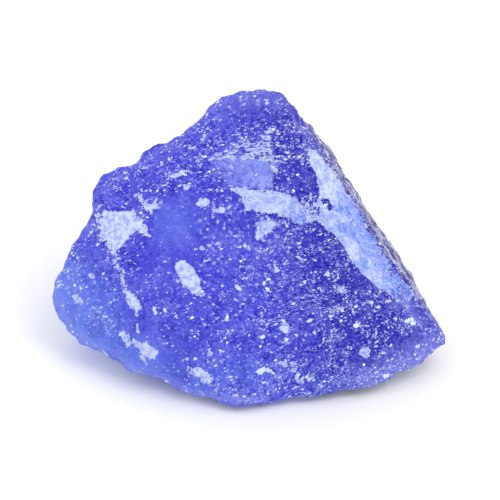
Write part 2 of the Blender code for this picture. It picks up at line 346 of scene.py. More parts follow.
# The front hollow, the clear field beside the strip, and where flecks and dashes gather
HOLLOW = (0.6, 1, 6, 5)
CLEAR_FIELD = (3.6, 5.2, 2.4, 2)
FLECKED_PLACE = (0.4, 0.6, 7, 5.2)
DASHED_PLACE = (-0.4, 7, 6, 2.6)

# How noise and zones turn into shares: from, to, and the shares at the first and at the second
RAMPS = {
    "curls": (0.0, 1.2, 0.0, 1.0),
    "clumps": (0.39, 0.63, 0.35, 1.4),
    "pale clouds": (0.45, 0.70, 0.0, 0.20),
    "deep clouds": (0.48, 0.30, 0.0, 0.35),
    "ledge mottle": (0.85, 1.15, 0.70, 1.0),
    "contrast": (0.0, 1.0, 0.42, 1.0),
    "dimming": (0.0, 1.0, 1.0, 0.35),
    "light mottle": (0.50, 0.72, 0.0, 0.36),
    "light grain": (0.54, 0.72, 0.0, 0.30),
    "dark mottle": (0.52, 0.32, 0.0, 0.65),
    "dark grain": (0.48, 0.34, 0.0, 0.60),
    "grey layers": (0.42, 0.58, 0.0, 1.0),
    "strip streaks": (0.36, 0.62, 0.40, 1.60),
    "dim mottle": (0.58, 0.38, 0.0, 0.80),
    "dim grain": (0.46, 0.34, 0.0, 0.30),
    "bright grain": (0.52, 0.66, 0.0, 0.40),
    "bright streaks": (0.53, 0.66, 0.0, 0.15),
    "rough mottle": (0.3, 0.7, -0.08, 0.08),
}

# How strongly each zone or layer shows
SHARES = {
    "azure": 0.85, "thin": 0.35, "glow_rim": 0.80, "grey": 0.92, "step_shadow": 0.85, "curls": 0.42, "flecks": 0.85,
    "snow": 0.72, "flakes": 0.9, "white": 0.45,
}

# How much finer a pattern is along each axis than its size says
STRETCHES = {
    "dashes": (0.8, 1.6, 3.4),
    "wisps": (0.9, 1.3, 1.9),
    "strip streaks": (0.6, 1.0, 1.2),
    "thin streaks": (0.35, 1.0, 1.5),
    "grey layers": (0.16, 0.55, 1.3),
    "clumps": (0.6, 1.2, 1.9),
    "grains": (0.72, 1.0, 1.25),
}

# The scattered grains: how far each scatter is shifted, and its raggedness, softness and rarity
SCATTERS = {
    "fleck": ((7.0, 3.0, 5.0), 1.2, 0.24, 1.4),
    "dash": ((0.0, 0.0, 0.0), 1.0, 0.09, 1.0),
    "salt": ((0.0, 0.0, 0.0), 1.2, 0.07, 0.8),
    "glint_dust": ((4.0, 1.0, 6.0), 1.2, 0.09, 0.8),
    "flake": ((2.0, 8.0, 1.0), 1.3, 0.20, 1.0),
}

# The dimmest grains, the radii of grains in their places, and how much more salt lies on worn ridges
DIMMEST_GRAIN = 0.20
GRAIN_RADII = (0.20, 0.46)
WORN_SALT = 0.24

# The broken covers: the size of the breaks, how much they break up, and how soft they are
COVERS = {"curls": (0.20, 2.6, 0.14), "snow": (0.34, 2.6, 0.12), "frost": (0.36, 1.6, 0.12)}

# The widths of the grey layers and of the strip's streaks, in millimetres
GREY_LAYER_WIDTH = 0.26
STREAK_WIDTH = 0.60
THIN_STREAK_WIDTH = 0.16

# The stone's finish, and how its roughness and bump follow the pattern
FINISH = {
    "Metallic": 0.0,
    "IOR": 1.77,
    "Specular IOR Level": 0.05,
    "Subsurface Weight": 0.30,
    "Subsurface Radius": (0.40, 0.45, 0.60),
    "Subsurface Scale": 0.6 * MM,
}
WHITE_ROUGHNESS = 0.30
MOTTLE_BUMP = 0.7
GRAIN_BUMP = 0.5
FROST_BUMP = 0.3
BUMP_STRENGTH = 0.45
BUMP_DISTANCE = 0.12 * MM


def a_length(name, description, millimetres):
    """A length setting, given in millimetres and kept in metres."""
    return FloatProperty(
        name=name, description=description, default=millimetres * MM, unit="LENGTH", precision=6
    )


def a_colour(name, description, default):
    """A colour setting."""
    return FloatVectorProperty(name=name, description=description, default=default, subtype="COLOR")


def a_number(name, description, default, **limits):
    """A plain setting: a share, a strength, or a size in millimetres."""
    return FloatProperty(name=name, description=description, default=default, **limits)


def a_power(name, description, default):
    """The setting of a lamp's power."""
    return FloatProperty(name=name, description=description, default=default, min=0, unit="POWER")


class StoneShape(bpy.types.PropertyGroup):
    """Sizes of the stone's skin."""

    mesh_step: a_length("Mesh step", "Spacing of the skin's points", 0.142)
    wear_steps: IntProperty(name="Wear steps", description="How often edges are rubbed down", default=4)
    wave_height: a_length("Wave height", "Height of the broad waves", 0.16)
    lump_height: a_length("Lump height", "Height of the small lumps", 0.09)
    break_depth: a_length("Break depth", "Depth of the broad shells broken out of the unseen sides", 0.42)
    shell_depth: a_length("Shell depth", "Depth of the small shells broken out of the skin", 0.10)
    step_height: a_length("Step height", "Height of the fine steps near the crown", 0.09)
    grain_height: a_length("Grain height", "Height of the grain", 0.04)
    chip_depth: a_length("Chip depth", "Depth of a frosted chip", 0.09)
    # A shallow groove cut along each painted step shadow
    shadow_groove_depth: a_length("Seam depth", "Depth of a dark seam", 0.10)


class StoneColours(bpy.types.PropertyGroup):
    """Colours and finish of the stone, some of them used for painted glow, sheen, shade and glints."""

    body: a_colour("Body", "The cloudy blue of the stone", (0.066, 0.067, 0.64))
    deep: a_colour("Deep", "The darker indigo at the right", (0.038, 0.030, 0.43))
    # The dark grain between specks, and also the colour of the painted shade in the hollows and of the
    # painted shadows under step edges
    pit_and_shade: a_colour("Pit", "The darkest blue between the grains", (0.006, 0.002, 0.34))
    # Lighter stone at the lower left, also carrying painted glow there and on skin that faces the floor
    azure: a_colour("Azure", "The lighter blue at the lower left", (0.15, 0.262, 0.84))
    thin: a_colour("Thin edge", "The pale blue where light comes through an edge", (0.26, 0.29, 0.79))
    frost: a_colour("Frost", "The white of chips and specks", (0.56, 0.63, 0.89))
    lilac: a_colour("Lilac", "The dimmer places in a frosted chip", (0.27, 0.33, 0.79))
    # The brightest grains: partly white specks, partly painted glints
    speck_and_glint: a_colour("Spark", "The brightest grains", (0.88, 0.95, 1.0))
    # Painted sheen on the up-facing ledge, partly paler stone as well
    ledge: a_colour("Ledge", "The pale azure of the ledge", (0.285, 0.35, 0.85))
    tint: a_colour("Tint", "The azure in the right strip", (0.12, 0.22, 0.78))
    grey: a_colour("Grey skin", "The weathered skin of the far right face", (0.36, 0.35, 0.54))
    grey_seam: a_colour("Grey seam", "The dark between the weathered skin's layers", (0.050, 0.040, 0.20))
    roughness: a_number("Roughness", "Roughness of the waxy body", 0.42, min=0, max=1)


class StoneTexture(bpy.types.PropertyGroup):
    """Sizes and amounts of the pattern in the stone's colour. Sizes are in millimetres."""

    cloud_size: a_number("Cloud size", "Width of the soft clouds", 1.7)
    clump_size: a_number("Clump size", "Width of the clumps that grains gather in", 1.2)
    mottle_size: a_number("Mottle size", "Width of the mottling", 0.42)
    grain_size: a_number("Grain size", "Width of the fine grain", 0.15)
    glint_dust_size: a_number("Dust size", "Spacing of the finest grains", 0.15)
    salt_size: a_number("Salt size", "Spacing of the salt", 0.26)
    dash_size: a_number("Dash size", "Spacing of the dashes near the crown", 0.38)
    fleck_size: a_number("Fleck size", "Spacing of the soft flecks", 0.34)
    flake_size: a_number("Flake size", "Spacing of the rare flakes", 0.70)
    curl_amount: a_number("Curl amount", "Cover of the curled specks where most", 0.27)
    glint_dust_amount: a_number("Dust amount", "Share of places for dust in use", 0.26)
    salt_amount: a_number("Salt amount", "Share of places for salt in use", 0.25)
    dash_amount: a_number("Dash amount", "Share of places for dashes in use", 1.1)
    fleck_amount: a_number("Fleck amount", "Share of places for flecks in use", 0.80)
    flake_amount: a_number("Flake amount", "Share of places for flakes in use", 0.10)


class StageLook(bpy.types.PropertyGroup):
    """The floor and the light."""

    floor: a_colour("Floor", "Colour of the floor", (0.95, 0.95, 0.95))
    room_light: a_number("Room light", "Brightness of the white room", 0.98, min=0)
    key_light: a_power("Key light", "Power of the soft lamp at the upper right", 0.34)
    back_light: a_power("Back light", "Power of the soft lamp behind the left edge", 0.18)


def rise(values, low, high):
    """0 below low, 1 above high, and smooth between them."""
    share = np.clip((values - low) / (high - low), 0.0, 1.0)
    return share * share * (3.0 - 2.0 * share)


def seen_places(points):
    """How far right and up points are seen from the middle, in millimetres."""
    from_middle = points - SIGHT_MIDDLE
    nearness = CAMERA_DISTANCE / (CAMERA_DISTANCE + from_middle @ AWAY)
    return np.stack((from_middle @ RIGHT * nearness, from_middle @ UP * nearness), axis=1)


def noise_at(points, size, octaves=1, stretch=(1.0, 1.0, 1.0)):
    """Smooth noise of about -1 to 1 with features of the given size."""
    scaled = points * (np.array(stretch) / size)
    return np.array([noise.fractal(Vector(p), 1.0, 2.0, octaves) for p in scaled])


def shells_at(points, size):
    """Shallow shells of about the given size, 1 in the middle of each and 0 at its border."""
    deep = []
    for p in points / size:
        nearest, second = noise.voronoi(Vector(p))[0][:2]
        deep.append(min(second - nearest, 1.0))
    return np.array(deep)


def distance_to_line(places, line):
    """Distance from each place to a line of straight runs."""
    nearest = np.full(len(places), np.inf)
    for start, end in zip(line, line[1:]):
        start = np.array(start)
        run = np.array(end) - start
        share = np.clip((places - start) @ run / (run @ run), 0.0, 1.0)
        gap = places - start - share[:, None] * run
        nearest = np.minimum(nearest, np.hypot(gap[:, 0], gap[:, 1]))
    return nearest


def depth_inside(places, outline):
    """How far each place lies inside an outline. Outside it is the same below zero."""
    closed = [*outline, outline[0]]
    inside = np.zeros(len(places), bool)
    x, y = places[:, 0], places[:, 1]
    for (x0, y0), (x1, y1) in zip(closed, closed[1:]):
        if y0 == y1:
            continue
        crosses = (y0 > y) != (y1 > y)
        inside ^= crosses & (x < (x1 - x0) * (y - y0) / (y1 - y0) + x0)
    distance = distance_to_line(places, closed)
    return np.where(inside, distance, -distance)


def depth_in_oval(places, right, up, half_length, half_width, turn):
    """About how far each place lies inside an oval."""
    angle = math.radians(turn)
    along = (places[:, 0] - right) * math.cos(angle) + (places[:, 1] - up) * math.sin(angle)
    across = (places[:, 1] - up) * math.cos(angle) - (places[:, 0] - right) * math.sin(angle)
    return (1.0 - np.hypot(along / half_length, across / half_width)) * half_width


def soft_spot(places, right, up, half_width, half_height):
    """1 at a place, fading to 0 over an oval round it."""
    share = np.hypot((places[:, 0] - right) / half_width, (places[:, 1] - up) / half_height)
    return 1.0 - rise(share, 0.0, 1.0)


def spots_at(places, table):
    """Each soft spot of a table, times its share, in a row of its own."""
    return np.array([share * soft_spot(places, *oval) for *oval, share in table])


def edge_at(heights, line):
    """How far right a line that falls from its first point to its last is at each height."""
    rising = line[::-1]
    return np.interp(heights, [p[1] for p in rising], [p[0] for p in rising])


def cover(depth, border):
    """A depth inside a mark turned into how fully the mark covers, 0.5 on its outline."""
    return np.clip(0.5 + depth / border, 0.0, 1.0)


def new_object(name, data):
    """An object in the scene that shows the given data."""
    obj = bpy.data.objects.new(name, data)
    bpy.context.scene.collection.objects.link(obj)
    return obj


class Skin:
    """The stone's skin while it is made: its mesh, with its points and normals as arrays in millimetres."""

    def __init__(self, bm):
        self.bm = bm
        self.read()

    def read(self):
        self.bm.normal_update()
        self.points = np.array([v.co for v in self.bm.verts]) / MM
        self.normals = np.array([v.normal for v in self.bm.verts])

    def write(self, points):
        for vert, point in zip(self.bm.verts, points):
            vert.co = point * MM
        self.read()

    def rub(self, steps):
        for _ in range(steps):
            bmesh.ops.smooth_vert(
                self.bm, verts=self.bm.verts, factor=0.5, use_axis_x=True, use_axis_y=True, use_axis_z=True
            )
        self.read()


def even_skin(node, step):
    """An even, closed mesh over a node's solid."""
    bm = bmesh.new()
    bm.from_mesh(node.data)
    bmesh.ops.remove_doubles(bm, verts=bm.verts, dist=0.001 * MM)
    mesh = bpy.data.meshes.new("solid_copy")
    bm.to_mesh(mesh)
    bm.free()
    obj = new_object("solid_copy", mesh)
    even = obj.modifiers.new("even_mesh", "REMESH")
    even.mode = "VOXEL"
    even.voxel_size = step
    graph = bpy.context.evaluated_depsgraph_get()
    even_mesh = bpy.data.meshes.new_from_object(obj.evaluated_get(graph))
    even_bm = bmesh.new()
    even_bm.from_mesh(even_mesh)
    bpy.data.objects.remove(obj)
    bpy.data.meshes.remove(mesh)
    bpy.data.meshes.remove(even_mesh)
    return Skin(even_bm)


class Marks:
    """The fields that say, for each point of the skin, which marks and zones it belongs to."""

    def __init__(self, skin):
        points = skin.points
        self.points = points
        self.normals = skin.normals
        self.facing = -skin.normals @ AWAY
        self.seen = rise(self.facing, -0.05, 0.12)
        self.ragged = 0.16 * noise_at(points, 0.55, 2) + 0.07 * noise_at(points + 30.0, 0.2)
        wander = np.stack((noise_at(points + 50.0, 0.7), noise_at(points + 70.0, 0.7)), axis=1)
        self.places = seen_places(points) + 0.10 * wander
        self.drift = noise_at(points + 90.0, 3.2, 2)

    def frost(self):
        """How fully chips, lines and the right strip cover the skin."""
        full = np.zeros(len(self.points))
        for strength, border, outline in CHIPS.values():
            depth = depth_inside(self.places, outline) + 0.5 * self.ragged
            full = np.maximum(full, CHIP_FULLNESS * strength * cover(depth, 1.5 * border))
        for chip in SMALL_CHIPS:
            depth = depth_in_oval(self.places, *chip) + 0.35 * self.ragged
            full = np.maximum(full, SMALL_FULLNESS * cover(depth, SMALL_BORDER))
        for line, half_width in WHITE_LINES:
            depth = half_width - distance_to_line(self.places, line) + self.ragged - 0.04
            full = np.maximum(full, LINE_FULLNESS * cover(depth, LINE_BORDER))
        full = np.maximum(full, self.strip()[0])
        return np.maximum(full * self.seen, self.hidden_chips())

    def white(self):
        """1 in the whitest chips, which are the crescent and the small ones below and above the hollow."""
        x, y = self.places[:, 0], self.places[:, 1]
        most = cover(depth_inside(self.places, CHIPS["crescent chip"][2]), 0.2)
        for chip in SMALL_CHIPS:
            most = np.maximum(most, cover(depth_in_oval(self.places, *chip), SMALL_BORDER))
        return most * rise(np.abs(y - 2.4), 3.2, 4.6) * rise(x, -12.5, -9.0) * self.seen

    def strip(self):
        """How fully the right strip covers the skin, and how far across it each point is."""
        x, y = self.places[:, 0], self.places[:, 1]
        left, right = edge_at(y, STRIP_LEFT), edge_at(y, STRIP_RIGHT)
        depth = np.minimum(x - left, right - x) * 0.8
        depth = np.minimum(depth, STRIP_LEFT[0][1] - y) + 0.4 * self.ragged
        foot = rise(y + 0.6 * self.drift + 1.5 * self.ragged, -5.4, -1.8)
        gaps = np.minimum(spots_at(self.places, STRIP_GAPS), 1.0)
        full = STRIP_FULLNESS * cover(depth, STRIP_BORDER) * foot * (1.0 - gaps).prod(axis=0)
        return full, (x - left) / np.maximum(right - left, 0.1)

    def tint(self):
        """How azure the frost is, at the ledge chip's right end and down the strip."""
        x, y = self.places[:, 0], self.places[:, 1]
        inside, across = self.strip()
        streaks = 0.35 * self.drift + 1.6 * self.ragged
        patches = 0.35 * noise_at(self.points + 45.0, 0.8, 2)
        azure = 0.75 * rise(across + streaks, 0.25, 0.80) * rise(-y, -5.8, -3.0) + patches
        azure = np.maximum(azure, rise(-y + 1.5 * streaks, 0.8, 2.6) * 0.50 + patches)
        azure += spots_at(self.places, STRIP_TINTS).sum(axis=0)
        strip_tint = np.clip(0.15 + azure, 0.0, 1.0) * (inside > 0)
        on_ledge = (x > -1.8) * (x < 4.3) * (y > 1.5) * (y < 5.2)
        ledge_tint = (0.22 + 0.5 * rise(x, 2.0, 4.6)) * on_ledge
        return np.where(inside > 0, strip_tint, ledge_tint) * self.seen

    def hidden_chips(self):
        """Chips of the same kinds scattered over the sides that the viewer doesn't see."""
        drawn = random.Random(HIDDEN_SEED)
        hidden = np.flatnonzero((self.facing < -0.05) & (self.points[:, 2] > 0.5))
        lobes = 0.40 * noise_at(self.points + 120.0, 1.1, 2)
        full = np.zeros(len(self.points))
        for _ in range(HIDDEN_CHIPS):
            middle = self.points[hidden[drawn.randrange(len(hidden))]]
            size = 0.12 + 1.1 * drawn.random() ** 4
            stretch = np.array([drawn.uniform(0.6, 1.6) for _ in range(3)])
            strength = drawn.choice(HIDDEN_STRENGTHS)
            distance = np.linalg.norm((self.points - middle) * stretch, axis=1)
            depth = size - distance + 1.6 * self.ragged + lobes
            full = np.maximum(full, strength * cover(depth, HIDDEN_BORDER))
        lace = 0.62 * rise(noise_at(self.points + 11.0, 2.6, 2), 0.35, 0.75)
        return np.maximum(full, lace) * rise(-self.facing, 0.12, 0.30)

    def step_shadows(self):
        """1 in the painted shadows under step edges."""
        dark = np.zeros(len(self.points))
        for line, half_width in STEP_SHADOWS:
            depth = half_width - distance_to_line(self.places, line) + 0.5 * self.ragged
            dark = np.maximum(dark, cover(depth, STEP_SHADOW_BORDER))
        return dark * self.seen

    def zones(self):
        """How much each point belongs to each zone of the stone's colour and finish; some zones are painted
        glow, sheen and shade.
        """
        places = self.places
        x, y = places[:, 0], places[:, 1]
        drift = 0.9 * self.drift
        seen = self.seen
        # Azure: lighter stone at the lower left, with painted glow on skin facing down to the floor and in
        # the glowing places
        under = rise(-self.normals[:, 2], 0.0, 0.7)
        azure = rise(-0.75 * x - 0.65 * y + drift, 7.0, 15.0)
        glow = spots_at(places, GLOWING_PLACES).sum(axis=0)
        azure = np.clip(azure + 0.35 * under + glow * seen, 0.0, 1.0)
        deep = rise(x + 0.25 * y + drift, -1.0, 7.0)
        quiet = spots_at(places, QUIET_PLACES).max(axis=0) * seen
        # The ledge: painted sheen on an up-facing facet, partly paler stone
        ledge = cover(depth_inside(places, SHEEN_LEDGE) + 0.4 * self.ragged, 0.25)
        ledge *= rise(x + 0.6 * (y - 5.6), -3.4, 0.0) * seen
        grit = 0.36 + 0.16 * rise(x, -13.0, -7.0) + 0.33 * rise(x, -2.0, 6.0)
        grit += (0.15 * rise(y, 3.0, 7.0) - 0.40 * rise(y, 9.6, 11.4)) * seen
        hollow = soft_spot(places, *HOLLOW) * seen
        field = soft_spot(places, *CLEAR_FIELD) * seen
        grit += 0.35 * self.drift - 0.95 * quiet - 0.30 * hollow - 0.25 * field
        grit = np.clip(grit, 0.05, 1.0) * (1.0 - 0.9 * ledge)
        flecks = 0.10 + 1.25 * soft_spot(places, *FLECKED_PLACE) * seen + 0.25 * self.drift
        outside = x - edge_at(y, GREY_EDGE) + 0.12 + 0.4 * self.ragged
        face = rise(outside, -0.05, 0.10) * rise(y, -6.8, -2.4)
        behind = rise(-self.facing, 0.0, 0.3) * rise(x + 2.5 * self.drift, 4.0, 8.0)
        streaked = 0.04 + 0.20 * soft_spot(places, *DASHED_PLACE) + 0.08 * self.drift - 0.20 * field
        snow = 0.56 * cover(depth_inside(places, STREAKED_SNOW) + 0.6 * self.ragged, 0.4)
        snow = np.maximum(streaked * (1.0 - ledge), snow) * rise(y, 3.6, 5.4) * seen
        # Painted glow: low skin on the unseen sides lit through from the floor, and lines where light comes
        # through the edges
        glow_rim = 0.7 * rise(-self.points[:, 2], -2.0, -0.2) * (1.0 - seen)
        for line, half_width, share in GLOW_LINES:
            near = 1.0 - rise(distance_to_line(places, line), 0.0, half_width)
            glow_rim = np.maximum(glow_rim, share * near * seen)
        return {
            "azure": azure,
            "deep": deep,
            # Painted shade in the hollows and on faces turned from the light
            "painted_shade": spots_at(places, SHADED_PLACES).max(axis=0) * seen,
            "grit": grit,
            "flecks": np.clip(flecks * (1.0 - 0.85 * quiet) * (1.0 - ledge), 0.0, 1.0),
            "grey": np.maximum(face, behind),
            "ledge": ledge,
            "snow": snow,
            "glow_rim": glow_rim,
        }


def raise_relief(skin, marks, shape, frost, step_shadows):
    """Raises the skin's relief, keeps the flat spot flat, and keeps all of it within the solid's box."""
    points = skin.points
    crown = rise(marks.places[:, 1], 3.0, 7.0) * marks.seen
    sight = np.stack((points @ RIGHT, points @ UP, points @ AWAY), axis=1)
    streaks = noise_at(sight, STEP_WIDTH, 3, STEP_STRETCH)
    unseen = 0.25 + 0.75 * (1.0 - marks.seen)
    height = shape.wave_height * noise_at(points, WAVE_WIDTH, 2)
    height += shape.lump_height * noise_at(points + 17.0, LUMP_WIDTH, 2)
    breaks = shells_at(points + 0.8 * marks.drift[:, None], BREAK_WIDTH)
    height += shape.break_depth * unseen * (0.4 - breaks)
    height -= shape.shell_depth * shells_at(points + 0.25 * marks.ragged[:, None], SHELL_WIDTH)
    height += shape.step_height * crown * np.abs(streaks)
    height += shape.grain_height * noise_at(points, GRAIN_WIDTH, 2)
    height -= shape.chip_depth * rise(frost, 0.35, 0.9)
    height -= shape.shadow_groove_depth * step_shadows
    height -= spots_at(marks.places, SHAVED_PLACES).sum(axis=0) * MM
    low, high = (np.array(corner) / MM for corner in SOLID_BOX)
    lift = rise(points[:, 2], *RELIEF_RISE)
    moved = points + skin.normals * (height / MM * lift)[:, None]
    moved[points[:, 2] < FLAT_BELOW, 2] = 0.0
    skin.write(np.clip(moved, low, high))


def thin_places(skin):
    """1 where the stone is thin behind the skin, as at its edges, fading to 0 where it is thick."""
    tree = BVHTree.FromBMesh(skin.bm)
    start_depth = 0.02 * MM
    far = 6.0
    slants = ((0, 0, 0), (0.6, 0, 0), (-0.6, 0, 0), (0, 0.6, 0), (0, 0, 0.6), (0, 0, -0.6))
    found = []
    for vert in skin.bm.verts:
        inwards = -vert.normal
        start = vert.co + inwards * start_depth
        total = 0.0
        for slant in slants:
            hit = tree.ray_cast(start, (inwards + Vector(slant)).normalized())[3]
            total += min((hit or 0.0) / MM, far)
        found.append(total / len(slants))
    return 1.0 - rise(np.array(found), *THIN_RANGE)


def worn_places(skin, rubbed):
    """1 on worn ridges and corners, and 0 on flats and in hollows."""
    proud = ((skin.points - rubbed.points) * rubbed.normals).sum(axis=1)
    return rise(proud, *WORN_RANGE)


def store(mesh, name, values):
    """Keeps one number for each point of a mesh, for its material to read."""
    attribute = mesh.attributes.new(name, "FLOAT", "POINT")
    attribute.data.foreach_set("value", np.asarray(values, np.float32))


def make_stone(shape, colours, texture):
    """The stone's skin, in place of its plain solid."""
    skin = even_skin(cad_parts[NODE], shape.mesh_step)
    skin.rub(shape.wear_steps)
    marks = Marks(skin)
    fields = marks.zones()
    fields["frost"] = marks.frost()
    fields["tint"] = marks.tint()
    fields["white"] = marks.white()
    fields["step_shadow"] = marks.step_shadows()
    raise_relief(skin, marks, shape, fields["frost"], fields["step_shadow"])
    rubbed = Skin(skin.bm.copy())
    rubbed.rub(RUBBED_STEPS)
    fields["thin"] = thin_places(rubbed)
    fields["worn"] = worn_places(skin, rubbed)
    rubbed.bm.free()
    mesh = bpy.data.meshes.new("sapphire_skin")
    skin.bm.to_mesh(mesh)
    skin.bm.free()
    for name, values in fields.items():
        store(mesh, name, values)
    mesh.shade_smooth()
    mesh.materials.append(stone_material(colours, texture, fields))
    stone = new_object("sapphire_skin", mesh)
    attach(stone, BODY)
    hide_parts(NODE)


class Graph:
    """Adds nodes to one tree, each with its settings, and with values or sockets for its inputs."""

    def __init__(self, tree):
        self.tree = tree

    def add(self, kind, inputs, **settings):
        node = self.tree.nodes.new(kind)
        for name, value in settings.items():
            setattr(node, name, value)
        for key, value in inputs.items():
            if isinstance(value, bpy.types.NodeSocket):
                self.tree.links.new(value, node.inputs[key])
            else:
                node.inputs[key].default_value = value
        return node

    def math(self, operation, *values):
        return self.add("ShaderNodeMath", dict(enumerate(values)), operation=operation).outputs[0]

    def vector(self, operation, *values):
        return self.add("ShaderNodeVectorMath", dict(enumerate(values)), operation=operation).outputs[0]

    def scaled(self, vector, factor):
        return self.add("ShaderNodeVectorMath", {0: vector, "Scale": factor}, operation="SCALE").outputs[0]

    def mix(self, share, first, second):
        colours = {6: first, 7: second}
        return self.add("ShaderNodeMix", {"Factor": share, **colours}, data_type="RGBA").outputs[2]

    def ramp(self, value, low, high, new_low=0.0, new_high=1.0, kind="SMOOTHSTEP"):
        inputs = {"Value": value, "From Min": low, "From Max": high, "To Min": new_low, "To Max": new_high}
        return self.add("ShaderNodeMapRange", inputs, interpolation_type=kind).outputs[0]

    def noise(self, place, size, detail=2.0, distortion=0.0):
        scale = self.math("DIVIDE", 1.0, size) if isinstance(size, bpy.types.NodeSocket) else 1.0 / size
        inputs = {"Vector": place, "Scale": scale, "Detail": detail, "Distortion": distortion}
        return self.add("ShaderNodeTexNoise", inputs)

    def attribute(self, name):
        return self.add("ShaderNodeAttribute", {}, attribute_name=name).outputs["Fac"]

    def group(self, tree, **inputs):
        named = {name.capitalize(): value for name, value in inputs.items()}
        return self.add("ShaderNodeGroup", named, node_tree=tree).outputs[0]


def new_group(name, inputs):
    """A node group with a place, the named numbers and one mask, and its graph and input sockets."""
    tree = bpy.data.node_groups.new(name, "ShaderNodeTree")
    tree.interface.new_socket("Place", in_out="INPUT", socket_type="NodeSocketVector")
    for socket in inputs:
        tree.interface.new_socket(socket, in_out="INPUT", socket_type="NodeSocketFloat")
    tree.interface.new_socket("Mask", in_out="OUTPUT", socket_type="NodeSocketFloat")
    return Graph(tree), tree.nodes.new("NodeGroupInput").outputs


def end_group(graph, value):
    end = graph.tree.nodes.new("NodeGroupOutput")
    graph.tree.links.new(value, end.inputs[0])
    return graph.tree


def grains_group():
    """Grains of every brightness, few of them bright, in a share of the cells of a scatter."""
    graph, given = new_group("grains", ("Size", "Amount", "Raggedness", "Softness", "Rarity"))
    wander = graph.noise(given["Place"], graph.math("MULTIPLY", given["Size"], 0.5)).outputs["Color"]
    push = graph.math("MULTIPLY", given["Raggedness"], given["Size"])
    warped = graph.vector(
        "ADD", given["Place"], graph.scaled(graph.vector("SUBTRACT", wander, (0.5, 0.5, 0.5)), push)
    )
    scale = graph.math("DIVIDE", 1.0, given["Size"])
    cells = graph.add("ShaderNodeTexVoronoi", {"Vector": warped, "Scale": scale})
    drawn = graph.add("ShaderNodeSeparateColor", {"Color": cells.outputs["Color"]})
    empty = graph.math("SUBTRACT", 1.0, given["Amount"])
    level = graph.ramp(drawn.outputs[0], empty, 1.0, kind="LINEAR")
    held = graph.math("GREATER_THAN", drawn.outputs[0], empty)
    rare = graph.math("POWER", level, given["Rarity"])
    brightness = graph.math("MULTIPLY_ADD", rare, 1.0 - DIMMEST_GRAIN, DIMMEST_GRAIN)
    radius = graph.ramp(drawn.outputs[1], 0.0, 1.0, *GRAIN_RADII, kind="LINEAR")
    inside = graph.math("SUBTRACT", radius, cells.outputs["Distance"])
    dot = graph.ramp(inside, graph.math("MULTIPLY", given["Softness"], -1.0), given["Softness"])
    return end_group(graph, graph.math("MULTIPLY", graph.math("MULTIPLY", dot, held), brightness))


def broken_group():
    """A cover turned into a mask whose border, and inside where the cover is thin, is broken by noise."""
    graph, given = new_group("broken_cover", ("Cover", "Size", "Breakup", "Softness"))
    broken = graph.noise(given["Place"], given["Size"], 3.0).outputs[0]
    shift = graph.math("MULTIPLY", graph.math("SUBTRACT", broken, 0.5), given["Breakup"])
    level = graph.math("SUBTRACT", graph.math("ADD", given["Cover"], shift), 0.5)
    lowest = graph.math("MULTIPLY", given["Softness"], -1.0)
    return end_group(graph, graph.ramp(level, lowest, given["Softness"]))


